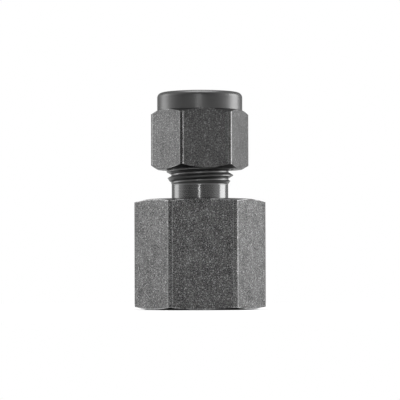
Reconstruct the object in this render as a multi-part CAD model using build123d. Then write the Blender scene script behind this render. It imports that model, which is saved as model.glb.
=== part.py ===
from build123d import *
import os
from math import ceil, cos, radians, sqrt, tan

# Female compression connector for tube, in millimetres. The axis is Z, the base of the female
# end is at height 0, and one flat of the large hexagon faces -Y. The nut is finger-tight. The
# two inner threads are bored out to their outer diameter, without their ridges.

# Tube and bores
tube_diameter = 6.35
tube_clearance = 0.13  # on the diameter, in every piece that the tube slides through
tube_stop_depth = 8.9  # from the nose down to the shoulder that stops the tube
flow_bore = 4.8

# Connector body, outside
body_flats = 19.05
body_hexagon_height = 18.33
body_corner_radius = 0.35
body_bevel_inset = 0.52  # of the bevel's inner circle from the flats
body_bevel_angle = 13.0  # from the end face
neck_length = 2.55
neck_relief = 0.055  # of the neck below the thread's root
threaded_length = 9.0  # from the neck to the nose
runout_angle = 34.0  # from the axis, where a thread fades out
nose_relief = 0.08  # of the nose's outer edge inside the thread's root
nose_land = 0.49  # flat ring round the seat's mouth

# Straight thread that the body and the nut share
thread_over_tube = 4.76  # outer diameter of the thread over the tube's
thread_pitch = 1.27
thread_root_flat = 0.21
thread_clearance = 0.06  # between the body's crests and the nut's bore
first_groove_drop = 0.4  # below the top of the neck, where the first groove crosses +X

# Seated cones
seat_half_angle = 20.0  # in the nose and on the front ferrule
drive_half_angle = 45.0  # behind the front ferrule and in the nut
seat_gap = 0.06  # square to each pair of cones

# Female taper pipe thread
pipe_pitch_diameter = 12.487  # at the mouth
pipe_taper = 1 / 16  # on the diameter
pipe_thread_height = 1.0
pipe_threaded_length = 11.0
pipe_drilled_past = 3.4  # straight bore beyond the thread
pipe_mouth_step = 0.25  # of the mouth's bevel outside the thread
drill_half_angle = 59.0

# Ferrules
front_ferrule_play = 0.37  # radial, inside the nut's bore
front_ferrule_tip = 0.22  # thickness of the leading edge
front_ferrule_land = 1.45
recess_step = 0.15  # radial, of the rear recess outside the back ferrule's waist
back_ferrule_play = 0.47  # radial, inside the nut's bore
back_ferrule_tip = 0.17
back_ferrule_wall = 0.56
back_ferrule_waist = 0.4
back_ferrule_rim = 0.6
back_ferrule_land = 0.46  # flat ring on the rear face

# Nut
nut_flats = 14.2875
nut_corner_radius = 0.27
nut_turned = 5.2  # degrees from the body's flats, anticlockwise from above
nut_bevel_inset = 0.09
nut_bevel_angle = 30.0
nut_threaded_length = 8.3
nut_plain_bore = 1.22  # between the thread and the foot of the drive cone
nut_end_wall = 1.7  # length of the tube's hole
nut_mouth_step = 0.06  # of the mouth's bevel outside the thread
collar_inset = 0.035  # of the collar from the flats
collar_height = 3.0
collar_round = 0.85
tube_hole_bevel = 0.35

overrun = 0.5  # how far a cutter runs past the surface that it opens

# Slopes and radii that follow
flank_slope = tan(radians(30))
seat_slope = tan(radians(seat_half_angle))
drive_slope = tan(radians(drive_half_angle))
runout_slope = tan(radians(runout_angle))
drill_slope = tan(radians(drill_half_angle))
pipe_slope = pipe_taper / 2
tube_bore_radius = (tube_diameter + tube_clearance) / 2
thread_radius = (tube_diameter + thread_over_tube) / 2
sharp_height = thread_pitch * sqrt(3) / 2  # of the thread's full triangle
thread_pitch_radius = thread_radius - sharp_height * 3 / 8
thread_root_radius = thread_pitch_radius - (thread_pitch / 2 - thread_root_flat) / 2 / flank_slope
nose_radius = thread_root_radius - nose_relief
seat_mouth_radius = nose_radius - nose_land
nut_thread_radius = thread_radius + thread_clearance
nut_bore_radius = thread_pitch_radius - sharp_height / 4
pipe_outer_radius = (pipe_pitch_diameter + pipe_thread_height) / 2
pipe_drill_radius = pipe_outer_radius - pipe_thread_height - pipe_slope * pipe_threaded_length
front_radius = nut_bore_radius - front_ferrule_play
front_tip_radius = tube_bore_radius + front_ferrule_tip
back_radius = nut_bore_radius - back_ferrule_play
back_tip_radius = tube_bore_radius + back_ferrule_tip
waist_radius = tube_bore_radius + back_ferrule_wall
recess_radius = waist_radius + recess_step
collar_radius = nut_flats / 2 - collar_inset

# Heights, up from the base through the stack of seats to the top of the nut
neck_top = body_hexagon_height + neck_length
nose_height = neck_top + threaded_length
groove_height = neck_top - first_groove_drop
tube_stop = nose_height - tube_stop_depth
front_cone_at_nose = seat_mouth_radius - seat_gap / cos(radians(seat_half_angle))
front_shoulder = nose_height + (front_radius - front_cone_at_nose) / seat_slope
front_tip = front_shoulder - (front_radius - front_tip_radius) / seat_slope
front_back = front_shoulder + front_ferrule_land
drive_step = seat_gap / cos(radians(drive_half_angle))  # radial gap between two drive cones
waist_start = front_back - (recess_radius - drive_step - waist_radius) / drive_slope
back_tip = waist_start - (waist_radius - back_tip_radius) / drive_slope
rim_start = waist_start + back_ferrule_waist
rim_end = rim_start + back_ferrule_rim
back_end = rim_end + (back_radius - tube_bore_radius - back_ferrule_land) / drive_slope
drive_cone_foot = rim_end - (nut_bore_radius - drive_step - back_radius) / drive_slope
tube_hole_start = drive_cone_foot + (nut_bore_radius - tube_bore_radius) / drive_slope
nut_thread_end = drive_cone_foot - nut_plain_bore
nut_bottom = nut_thread_end - nut_threaded_length
nut_top = tube_hole_start + nut_end_wall
collar_foot = nut_top - collar_height


def ring(*points):
    """Solid of revolution about Z from (radius, height) points."""
    return revolve(Plane.XZ * make_face(Polyline(*points, close=True)), Axis.Z)


def bevelled_hexagon(flats, corner_radius, turned, low_rim, high_rim, bottom, top, angle):
    """Hexagonal bar with rounded corners and a shallow bevel on each end.

    The rims are the radii where the bevels leave the lower and upper end faces.
    """
    outline = RegularPolygon(flats / 2, 6, major_radius=False, rotation=turned)
    outline = fillet(outline.vertices(), corner_radius)
    bar = Pos(0, 0, bottom) * extrude(outline, top - bottom)
    reach = flats * 0.65  # past the corners
    low_fall = (reach - low_rim) * tan(radians(angle))
    high_fall = (reach - high_rim) * tan(radians(angle))
    return bar & ring(
        (0, bottom),
        (low_rim, bottom),
        (reach, bottom + low_fall),
        (reach, top - high_fall),
        (high_rim, top),
        (0, top),
    )


def threaded_bar(low, high):
    """Round bar with the body's right-hand thread between two heights, and plain past them."""
    flare = overrun / 10
    open_radius = thread_radius + flare
    open_width = thread_root_flat + 2 * (open_radius - thread_root_radius) * flank_slope
    first = groove_height - thread_pitch * (ceil((groove_height - low) / thread_pitch) + 1)
    turns = ceil((high - first) / thread_pitch) + 1
    corners = (
        (thread_root_radius, -thread_root_flat / 2),
        (open_radius, -open_width / 2),
        (open_radius, open_width / 2),
        (thread_root_radius, thread_root_flat / 2),
    )
    length = turns * thread_pitch
    edges = [
        Edge.make_helix(thread_pitch, length, radius, center=(0, 0, first + rise))
        for radius, rise in corners
    ]
    sides = [Face.make_surface_from_curves(*pair) for pair in zip(edges, edges[1:] + edges[:1])]
    ends = [Face(Wire.make_polygon([edge @ end for edge in edges])) for end in (0, 1)]
    foot = first - thread_pitch
    head = first + length + thread_pitch
    bar = ring((0, foot), (thread_radius, foot), (thread_radius, head), (0, head))
    return bar - Solid(Shell(sides + ends))


def body_spigot():
    """Relief neck and threaded end, whose first turns fade into the neck."""
    neck_radius = thread_root_radius - neck_relief
    foot = body_hexagon_height - overrun
    past = thread_radius + overrun
    outline = ring(
        (0, foot),
        (neck_radius, foot),
        (neck_radius, neck_top),
        (past, neck_top + (past - neck_radius) / runout_slope),
        (past, nose_height - (past - nose_radius)),
        (nose_radius, nose_height),
        (0, nose_height),
    )
    return threaded_bar(foot, nose_height) & outline


def body_bores():
    """Pipe port, flow bore, tube bore and the front ferrule's seat."""
    mouth_radius = pipe_outer_radius + pipe_mouth_step
    thread_end = pipe_threaded_length - (pipe_thread_height / runout_slope)
    drilled_end = pipe_threaded_length + pipe_drilled_past
    flow_radius = flow_bore / 2
    return ring(
        (0, -overrun),
        (mouth_radius + overrun, -overrun),
        (pipe_outer_radius, pipe_mouth_step),
        (pipe_outer_radius - pipe_slope * thread_end, thread_end),
        (pipe_drill_radius, pipe_threaded_length),
        (pipe_drill_radius, drilled_end),
        (flow_radius, drilled_end + (pipe_drill_radius - flow_radius) / drill_slope),
        (flow_radius, tube_stop),
        (tube_bore_radius, tube_stop),
        (tube_bore_radius, nose_height - (seat_mouth_radius - tube_bore_radius) / seat_slope),
        (seat_mouth_radius + overrun * seat_slope, nose_height + overrun),
        (0, nose_height + overrun),
    )


def connector_body():
    rim = body_flats / 2 - body_bevel_inset
    base = bevelled_hexagon(
        body_flats,
        body_corner_radius,
        0,
        rim,
        rim,
        0,
        body_hexagon_height,
        body_bevel_angle,
    )
    return base + body_spigot() - body_bores()


def front_ferrule():
    recess_depth = (recess_radius - tube_bore_radius) / drive_slope
    return ring(
        (tube_bore_radius, front_tip),
        (front_tip_radius, front_tip),
        (front_radius, front_shoulder),
        (front_radius, front_back),
        (recess_radius, front_back),
        (tube_bore_radius, front_back - recess_depth),
    )


def back_ferrule():
    return ring(
        (tube_bore_radius, back_tip),
        (back_tip_radius, back_tip),
        (waist_radius, waist_start),
        (waist_radius, rim_start),
        (back_radius, rim_start),
        (back_radius, rim_end),
        (tube_bore_radius + back_ferrule_land, back_end),
        (tube_bore_radius, back_end),
    )


def nut_blank():
    """Bevelled hexagon with a round collar on top of it."""
    bar = bevelled_hexagon(
        nut_flats,
        nut_corner_radius,
        nut_turned,
        nut_flats / 2 - nut_bevel_inset,
        collar_radius,
        nut_bottom,
        collar_foot,
        nut_bevel_angle,
    )
    collar = Pos(0, 0, collar_foot) * extrude(Circle(collar_radius), collar_height)
    return bar + fillet(collar.edges().sort_by(Axis.Z)[-1], collar_round)


def nut_bores():
    """Threaded bore, plain bore, drive cone for the back ferrule and the tube's hole."""
    mouth_radius = nut_thread_radius + nut_mouth_step
    hole_end = nut_top - tube_hole_bevel
    return ring(
        (0, nut_bottom - overrun),
        (mouth_radius + overrun, nut_bottom - overrun),
        (nut_thread_radius, nut_bottom + nut_mouth_step),
        (nut_thread_radius, nut_thread_end - (nut_thread_radius - nut_bore_radius) / runout_slope),
        (nut_bore_radius, nut_thread_end),
        (nut_bore_radius, drive_cone_foot),
        (tube_bore_radius, tube_hole_start),
        (tube_bore_radius, hole_end),
        (tube_bore_radius + tube_hole_bevel + overrun, nut_top + overrun),
        (0, nut_top + overrun),
    )


def compression_nut():
    return nut_blank() - nut_bores()


os.makedirs("parts", exist_ok=True)
for piece in (connector_body, front_ferrule, back_ferrule, compression_nut):
    export_step(piece(), f"parts/{piece.__name__}.step")
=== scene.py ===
import bpy
import bmesh
from math import atan2, ceil, cos, hypot, pi, radians, sin
from mathutils import Euler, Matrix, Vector


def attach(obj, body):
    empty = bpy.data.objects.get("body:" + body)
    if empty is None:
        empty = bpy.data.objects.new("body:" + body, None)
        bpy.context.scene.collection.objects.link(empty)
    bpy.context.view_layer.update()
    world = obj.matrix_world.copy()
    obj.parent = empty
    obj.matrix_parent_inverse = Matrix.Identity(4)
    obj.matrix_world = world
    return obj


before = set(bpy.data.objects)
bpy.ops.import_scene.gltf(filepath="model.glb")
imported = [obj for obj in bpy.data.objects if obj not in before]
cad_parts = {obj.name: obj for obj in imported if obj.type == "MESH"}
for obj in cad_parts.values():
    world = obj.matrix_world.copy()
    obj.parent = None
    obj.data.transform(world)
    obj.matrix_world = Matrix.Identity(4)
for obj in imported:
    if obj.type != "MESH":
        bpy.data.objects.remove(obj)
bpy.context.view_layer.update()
scene = bpy.context.scene
scene.view_settings.view_transform = "Standard"
mm = 0.001

# Camera, low over the floor and looking slightly up

viewpoint = {
    "azimuth": -2.97,  # degrees, from the side that one flat of the body faces
    "distance": 383.7 * mm,
    "height": 4.87 * mm,
    "pitch": 2.0,
    "roll": -0.17,
    "lens": 207.0,
    "sensor": 36.0,
    "clip": (0.01, 20),  # metres
}


def placeCamera(spec):
    lensData = bpy.data.cameras.new("productLens")
    lensData.lens = spec["lens"]
    lensData.sensor_width = spec["sensor"]
    lensData.clip_start, lensData.clip_end = spec["clip"]
    camera = bpy.data.objects.new("productCamera", lensData)
    scene.collection.objects.link(camera)
    turn = radians(spec["azimuth"])
    camera.location = (
        spec["distance"] * sin(turn),
        -spec["distance"] * cos(turn),
        spec["height"],
    )
    heading = Euler((radians(90 + spec["pitch"]), 0, turn), "XYZ").to_matrix()
    roll = Euler((0, 0, radians(spec["roll"])), "XYZ").to_matrix()
    camera.rotation_euler = (heading @ roll).to_euler()
    scene.camera = camera


placeCamera(viewpoint)
print("camera placed")


# Shader sums written as plain expressions


class Signal:  # one output socket that can be added, multiplied and compared
    def __init__(self, graph, socket):
        self.graph = graph
        self.socket = socket

    def joined(self, operation, first, second=None):
        inputs = {0: first} if second is None else {0: first, 1: second}
        return self.graph.node("ShaderNodeMath", {"operation": operation}, inputs)

    def __add__(self, other):
        return self.joined("ADD", self, other)

    __radd__ = __add__

    def __mul__(self, other):
        return self.joined("MULTIPLY", self, other)

    __rmul__ = __mul__

    def __sub__(self, other):
        return self.joined("SUBTRACT", self, other)

    def __rsub__(self, other):
        return self.joined("SUBTRACT", other, self)

    def __pow__(self, other):
        return self.joined("POWER", self, other)

    def __lt__(self, other):
        return self.joined("LESS_THAN", self, other)

    def __gt__(self, other):
        return self.joined("GREATER_THAN", self, other)

    def size(self):
        return self.joined("ABSOLUTE", self)


class Finish:  # a material, or the world, and its nodes
    def __init__(self, owner):
        self.owner = owner
        owner.use_nodes = True
        self.tree = owner.node_tree
        self.tree.nodes.clear()

    def node(self, kind, settings=None, inputs=None, output=0):
        made = self.tree.nodes.new(kind)
        for name, value in (settings or {}).items():
            if name == "stops":
                self.setStops(made.color_ramp, value)
            else:
                setattr(made, name, value)
        for name, value in (inputs or {}).items():
            if isinstance(value, Signal):
                self.tree.links.new(value.socket, made.inputs[name])
            else:
                made.inputs[name].default_value = value
        return Signal(self, made.outputs[output]) if made.outputs else made

    def setStops(self, ramp, stops):
        while len(ramp.elements) < len(stops):
            ramp.elements.new(0.5)
        for element, (place, level) in zip(ramp.elements, stops):
            element.position = place
            element.color = (level, level, level, 1)

    def spread(self, value, low, high, outLow=0.0, outHigh=1.0):
        inputs = {"Value": value, 1: low, 2: high, 3: outLow, 4: outHigh}
        return self.node("ShaderNodeMapRange", {"interpolation_type": "SMOOTHSTEP"}, inputs)

    def noise(self, place, scale, detail=2.0, roughness=0.5):
        inputs = {"Vector": place, "Scale": scale, "Detail": detail, "Roughness": roughness}
        return self.node("ShaderNodeTexNoise", None, inputs)

    def stretched(self, place, scale):
        inputs = {"Vector": place, "Scale": scale}
        return self.node("ShaderNodeMapping", {"vector_type": "POINT"}, inputs)

    def tint(self, factor, dark, light):
        settings = {"data_type": "RGBA", "blend_type": "MIX"}
        inputs = {"Factor": factor, 6: (*dark, 1), 7: (*light, 1)}
        return self.node("ShaderNodeMix", settings, inputs, output=2)


# Steel: drawn flats with a fine grain, and turned faces with tool marks


steel = {
    "body": {
        "level": 0.172,
        "contrast": 1.0,
        "relief": 0.00009,
        "flatRoughness": 0.4,
        "turnedRoughness": 0.18,
        "turnedLevel": 0.24,
        "flatRadius": 9.4 * mm,
        "flatTop": 18.33 * mm,
        "cornerRadius": 10.76 * mm,
        "bottom": 0.0,
        "top": 18.33 * mm,
        "lowRim": 9.005 * mm,
        "highRim": 9.005 * mm,
        "bevelSlope": 0.231,
        # painted glint: brightness added in patches along the bevel rims of the flats
        "rimPaintedGlint": 0.38,
        "threadFoot": 20.7 * mm,
    },
    "nut": {
        "level": 0.163,
        "contrast": 0.62,
        "relief": 0.00005,
        "flatRoughness": 0.38,
        "turnedRoughness": 0.34,
        "turnedLevel": 0.178,
        "flatRadius": 7.12 * mm,
        "flatTop": 33.18 * mm,
        "cornerRadius": 8.045 * mm,
        "bottom": 23.34 * mm,
        "top": 33.188 * mm,
        "lowRim": 7.054 * mm,
        "highRim": 7.109 * mm,
        "bevelSlope": 0.577,
        # painted glint along the bevel rims, weaker on the nut
        "rimPaintedGlint": 0.1,
        "threadFoot": 1.0,
    },
    "ferrule": {
        "level": 0.4,
        "contrast": 0.2,
        "relief": 0.00002,
        "flatRoughness": 0.3,
        "turnedRoughness": 0.24,
        "turnedLevel": 0.4,
        "flatRadius": 20 * mm,  # past the ferrules, which have no flats
        "flatTop": 0,
        "cornerRadius": 1.0,
        "bottom": 0.0,
        "top": 0.0,
        "lowRim": 1.0,
        "highRim": 1.0,
        "bevelSlope": 0.0,
        "rimPaintedGlint": 0.0,
        "threadFoot": 1.0,
    },
}
marks = {
    "grainScale": 6400.0,
    "grainReach": (0.32, 0.68),
    "grainShare": 0.7,
    "grainSatin": 0.12,
    "sparkScale": 4700.0,
    "sparkReach": (0.54, 0.72),
    "sparkShare": 0.9,
    "sparkDrop": 0.1,
    "cloudScale": 420.0,
    "cloudShare": 0.4,
    "turnedCloudShare": 0.2,
    "drawnScale": (2400.0, 2400.0, 60.0),  # long marks up the flats
    "drawnShare": 0.3,
    "ringScale": (0.0, 0.0, 9000.0),  # tool marks round the turned faces
    "ringShare": 0.3,
    "ringSatin": 0.06,
    "ringRelief": 0.1,
    "threadSatin": 0.16,
}
# Corner and rim wear (polish, smoothing, tilt), with the painted highlights, painted glints and painted
# bevel shade that are added to the base colour
wearAndPaintedLight = {
    "flatSlack": 0.05,  # a flat's normal rises less than this
    "cornerWidth": 0.05 * mm,
    # painted highlight: base colour brightened just past each hex corner
    "cornerPaintedHighlight": 0.05,
    "cornerPolish": 0.27,
    "cornerSmoothing": 0.6,
    "cornerTilt": -3000,  # turns the surface away just before each corner
    "lineWidth": 0.06 * mm,
    # painted highlight: a thin bright line in the base colour just inside each corner
    "linePaintedHighlight": 0.13,
    "rimReach": (0.04 * mm, 0.15 * mm),
    "rimPatches": (0.42, 0.55),
    "rimPolish": 0.1,
    # painted shade: the turned bevels of the hexagons are darkened in the base colour
    "bevelPaintedShade": 0.5,
}


def steelFinish(name, spec):
    finish = Finish(bpy.data.materials.new(name))
    place = finish.node("ShaderNodeTexCoord", output="Object")
    facing = finish.node("ShaderNodeTexCoord", output="Normal")
    x, y, z = (finish.node("ShaderNodeSeparateXYZ", None, {0: place}, output=i) for i in range(3))
    upright = finish.node("ShaderNodeSeparateXYZ", None, {0: facing}, output="Z")
    radius = (x * x + y * y) ** 0.5
    onFlats = (radius > spec["flatRadius"]) * (z < spec["flatTop"]) * (upright.size() < wearAndPaintedLight["flatSlack"])

    grain = finish.noise(place, marks["grainScale"], 2.0, 0.6)
    sparks = finish.spread(finish.noise(place, marks["sparkScale"], 1.0), *marks["sparkReach"])
    clouds = finish.noise(place, marks["cloudScale"], 2.0)
    drawn = finish.noise(finish.stretched(place, marks["drawnScale"]), 1.0, 2.0)
    rings = finish.noise(finish.stretched(place, marks["ringScale"]), 1.0, 1.0)
    grainMark = finish.spread(grain, *marks["grainReach"]) - 0.5
    ringMark = rings - 0.5
    cloudMark = clouds - 0.5
    flatMark = grainMark * marks["grainShare"] + sparks * marks["sparkShare"] - marks["sparkDrop"]
    flatMark = flatMark + cloudMark * marks["cloudShare"] + (drawn - 0.5) * marks["drawnShare"]
    flatShade = spec["level"] * (1 + flatMark * spec["contrast"] * 2)
    turnedMark = 1 + ringMark * marks["ringShare"] + cloudMark * marks["turnedCloudShare"]
    turnedShade = spec["turnedLevel"] * turnedMark

    cornerRadius = spec["cornerRadius"]
    # band just past each hex corner: polished and smoothed as wear, and brightened in the base colour as
    # a painted highlight
    cornerWearAndSheen = onFlats * finish.spread(radius, cornerRadius, cornerRadius + wearAndPaintedLight["cornerWidth"])
    lineStart = finish.spread(radius, cornerRadius - wearAndPaintedLight["lineWidth"], cornerRadius)
    # a thin painted highlight line just inside each hex corner
    cornerHighlightLine = onFlats * (lineStart - cornerWearAndSheen)
    low = z - spec["bottom"] - (radius - spec["lowRim"]) * spec["bevelSlope"]
    high = spec["top"] - z - (radius - spec["highRim"]) * spec["bevelSlope"]
    rim = low.joined("MINIMUM", low, high)
    # rim band in patches: polished as wear, and brightened in the base colour as a painted glint
    patches = finish.spread(clouds, *wearAndPaintedLight["rimPatches"])
    rimWearAndGlint = onFlats * (1 - finish.spread(rim, *wearAndPaintedLight["rimReach"])) * patches
    # the turned bevels, darkened below as painted shade
    shadedBevels = (radius > spec["highRim"]) * (z < spec["flatTop"]) * (1 - onFlats)

    # base colour: grain and tool marks, with painted shade on the bevels
    shade = onFlats * flatShade + (1 - onFlats) * turnedShade * (1 - shadedBevels * wearAndPaintedLight["bevelPaintedShade"])
    # painted highlights at the hex corners: the corner band and a thin line just inside it
    shade = shade + cornerWearAndSheen * wearAndPaintedLight["cornerPaintedHighlight"] + cornerHighlightLine * wearAndPaintedLight["linePaintedHighlight"]
    # painted glints in patches along the bevel rims
    shade = shade + rimWearAndGlint * spec["rimPaintedGlint"]
    colour = finish.tint(shade, (0, 0, 0), (1, 1, 1))
    satin = spec["flatRoughness"] + grainMark * marks["grainSatin"]
    satin = satin - cornerWearAndSheen * wearAndPaintedLight["cornerPolish"] - rimWearAndGlint * wearAndPaintedLight["rimPolish"]
    turned = spec["turnedRoughness"] + ringMark * marks["ringSatin"]
    turned = turned + (z > spec["threadFoot"]) * marks["threadSatin"]
    roughness = onFlats * satin + (1 - onFlats) * turned
    smoothed = 1 - cornerWearAndSheen * wearAndPaintedLight["cornerSmoothing"]
    relief = onFlats * grain * smoothed + (1 - onFlats) * rings * marks["ringRelief"]
    past = (radius - cornerRadius) * (radius > cornerRadius)
    rounding = past * past * wearAndPaintedLight["cornerTilt"]
    corner = finish.node(
        "ShaderNodeBump",
        None,
        {"Strength": 1.0, "Distance": 1.0, "Height": rounding},
    )
    bump = finish.node(
        "ShaderNodeBump",
        None,
        {"Strength": 0.5, "Distance": spec["relief"], "Height": relief, "Normal": corner},
    )
    shader = finish.node(
        "ShaderNodeBsdfPrincipled",
        None,
        {"Base Color": colour, "Metallic": 1.0, "Roughness": roughness, "Normal": bump},
    )
    finish.node("ShaderNodeOutputMaterial", None, {"Surface": shader})
    return finish.owner


def dress(node, material):
    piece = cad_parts[node]
    for slot in piece.material_slots:
        slot.material = material


bodySteel = steelFinish("bodySteel", steel["body"])
nutSteel = steelFinish("nutSteel", steel["nut"])
ferruleSteel = steelFinish("ferruleSteel", steel["ferrule"])
dress("connector_body", bodySteel)
dress("compression_nut", nutSteel)
dress("front_ferrule", ferruleSteel)
dress("back_ferrule", ferruleSteel)
print("steel finished")


# Inner threads: ridges that fill the gap between each bored hole and its minor diameter


nutThread = {
    "pitch": 1.27 * mm,
    "outerRadius": 5.63 * mm,  # just inside the wall that carries it
    "crestRadius": 4.885 * mm,
    "footWidth": 1.1 * mm,
    "crestWidth": 0.25 * mm,
    "bottom": 23.34 * mm,
    "top": 31.64 * mm,
    "groove": 20.48 * mm,  # height where the body's first groove crosses +X
    "taper": 0.0,
}
pipeThread = {
    "pitch": 1.411 * mm,
    "outerRadius": 6.75 * mm,
    "crestRadius": 5.76 * mm,
    "footWidth": 1.34 * mm,
    "crestWidth": 0.17 * mm,
    "bottom": 0.1 * mm,
    "top": 10.4 * mm,
    "groove": 1.0 * mm,
    "taper": 1 / 32,  # of the radius along the axis
}
turnSteps = 48
endMargin = 0.62  # of the foot's width, kept clear at each end
leadParts = 3  # the ridge rises over its first and last third of a turn
leastRise = 0.04  # of the ridge's depth, left at its two ends


def threadRidge(name, spec, body, material):
    low = spec["bottom"] + spec["footWidth"] * endMargin
    skipped = ceil((low - spec["groove"]) / spec["pitch"])
    start = spec["groove"] + skipped * spec["pitch"]
    turns = (spec["top"] - spec["footWidth"] * endMargin - start) / spec["pitch"]
    steps = int(turns * turnSteps)
    bm = bmesh.new()
    half = (spec["footWidth"] / 2, spec["crestWidth"] / 2)
    section = (
        (spec["outerRadius"], -half[0]),
        (spec["crestRadius"], -half[1]),
        (spec["crestRadius"], half[1]),
        (spec["outerRadius"], half[0]),
    )
    corners = [bm.verts.new((radius, 0, start + rise)) for radius, rise in section]
    profile = bm.faces.new(corners)
    bmesh.ops.spin(
        bm,
        geom=[profile],
        cent=(0, 0, 0),
        axis=(0, 0, 1),
        dvec=(0, 0, spec["pitch"] / turnSteps),
        angle=steps / turnSteps * 2 * pi,
        steps=steps,
        use_merge=False,
    )
    lead = spec["pitch"] / leadParts
    reach = steps / turnSteps * spec["pitch"]
    for vert in bm.verts:
        radius = hypot(vert.co.x, vert.co.y)
        angle = atan2(vert.co.y, vert.co.x) % (2 * pi)
        wound = vert.co.z - start - angle / (2 * pi) * spec["pitch"]
        travelled = round(wound / spec["pitch"]) * spec["pitch"] + angle / (2 * pi) * spec["pitch"]
        rise = max(leastRise, min(1, travelled / lead, (reach - travelled) / lead))
        depth = (spec["outerRadius"] - radius) * rise
        wall = spec["outerRadius"] - spec["taper"] * vert.co.z
        factor = (wall - depth) / radius
        vert.co.x *= factor
        vert.co.y *= factor
    bmesh.ops.recalc_face_normals(bm, faces=bm.faces)
    mesh = bpy.data.meshes.new(name)
    bm.to_mesh(mesh)
    bm.free()
    mesh.materials.append(material)
    ridge = bpy.data.objects.new(name, mesh)
    scene.collection.objects.link(ridge)
    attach(ridge, body)


threadRidge("nut_thread_ridge", nutThread, "nut", nutSteel)
threadRidge("pipe_thread_ridge", pipeThread, "connector", bodySteel)
print("inner threads cut")


# Pale floor, white surround and soft lamps

studio = {
    "floorSize": 6.0,
    "floorColour": (0.82, 0.82, 0.82, 1),
    "floorLift": 0.5,
    "shadowReach": (0.02, 0.12),  # metres from the axis, where the floor turns plain white
    "cardAzimuth": -57,  # of the dark card that gives the left-hand corners their dark line
    "cardReach": (0.86, 0.99),
    "cardShade": 0.6,
    "overheadShade": 0.25,
    "overheadReach": (0.25, 0.8),
    "surround": [(0.0, 0.14), (0.15, 0.23), (0.33, 0.6), (0.55, 0.66), (0.75, 0.62), (0.93, 0.34)],
}
softboxes = {
    "leftSoftbox": {"azimuth": -114, "height": 0.06, "distance": 0.6, "size": (0.3, 0.6), "power": 0.86},
    "rightSoftbox": {"azimuth": 104, "height": 0.06, "distance": 0.6, "size": (0.38, 0.6), "power": 1.95},
    "frontStrip": {"azimuth": -5.5, "height": 0.06, "distance": 0.7, "size": (0.03, 0.5), "power": 0.32},
    "topSoftbox": {"azimuth": 0, "height": 0.7, "distance": 0.0, "size": (0.5, 0.5), "power": 1.7},
}
softboxAim = Vector((0, 0, 0.018))  # metres, halfway up the connector


def layFloor(spec):
    bm = bmesh.new()
    bmesh.ops.create_grid(bm, x_segments=1, y_segments=1, size=spec["floorSize"] / 2)
    mesh = bpy.data.meshes.new("studioFloor")
    bm.to_mesh(mesh)
    bm.free()
    floor = bpy.data.objects.new("studioFloor", mesh)
    scene.collection.objects.link(floor)
    finish = Finish(bpy.data.materials.new("paleFloor"))
    seen = finish.node("ShaderNodeLightPath", output="Is Camera Ray")
    matt = finish.node("ShaderNodeBsdfDiffuse", None, {"Color": spec["floorColour"]})
    glow = finish.node("ShaderNodeEmission", None, {"Strength": seen * spec["floorLift"]})
    near = finish.node("ShaderNodeAddShader", None, {0: matt, 1: glow})
    white = finish.node("ShaderNodeEmission", None, {"Color": (1, 1, 1, 1), "Strength": 1.0})
    place = finish.node("ShaderNodeTexCoord", output="Object")
    reach = finish.node("ShaderNodeVectorMath", {"operation": "LENGTH"}, {0: place}, output="Value")
    fade = seen * finish.spread(reach, *spec["shadowReach"])
    both = finish.node("ShaderNodeMixShader", None, {0: fade, 1: near, 2: white})
    finish.node("ShaderNodeOutputMaterial", None, {"Surface": both})
    mesh.materials.append(finish.owner)


def lightSurround(spec):
    world = bpy.data.worlds.new("studioSurround")
    scene.world = world
    finish = Finish(world)
    direction = finish.node("ShaderNodeTexCoord")
    aside = finish.node("ShaderNodeSeparateXYZ", None, {0: direction}, output="X")
    depth = finish.node("ShaderNodeSeparateXYZ", None, {0: direction}, output="Y")
    above = finish.node("ShaderNodeSeparateXYZ", None, {0: direction}, output="Z")
    seen = finish.node("ShaderNodeLightPath", output="Is Camera Ray")
    ramp = {"stops": spec["surround"]}
    level = finish.node("ShaderNodeValToRGB", ramp, {"Fac": depth * 0.5 + 0.5})
    turn = radians(spec["cardAzimuth"])
    card = finish.spread(aside * sin(turn) - depth * cos(turn), *spec["cardReach"])
    overhead = finish.spread(above, *spec["overheadReach"])
    dimmed = level * (1 - card * spec["cardShade"]) * (1 - overhead * spec["overheadShade"])
    shown = dimmed * (1 - seen) + seen
    surround = finish.node("ShaderNodeBackground", None, {"Color": (1, 1, 1, 1), "Strength": shown})
    finish.node("ShaderNodeOutputWorld", None, {"Surface": surround})


def hangSoftbox(name, spec):
    lamp = bpy.data.lights.new(name, "AREA")
    lamp.shape = "RECTANGLE"
    lamp.size, lamp.size_y = spec["size"]
    lamp.energy = spec["power"]
    holder = bpy.data.objects.new(name, lamp)
    scene.collection.objects.link(holder)
    turn = radians(spec["azimuth"])
    place = Vector((spec["distance"] * sin(turn), -spec["distance"] * cos(turn), spec["height"]))
    holder.location = place
    holder.rotation_euler = (softboxAim - place).to_track_quat("-Z", "Y").to_euler()


layFloor(studio)
lightSurround(studio)
for softboxName, softboxSpec in softboxes.items():
    hangSoftbox(softboxName, softboxSpec)
print("studio lit")
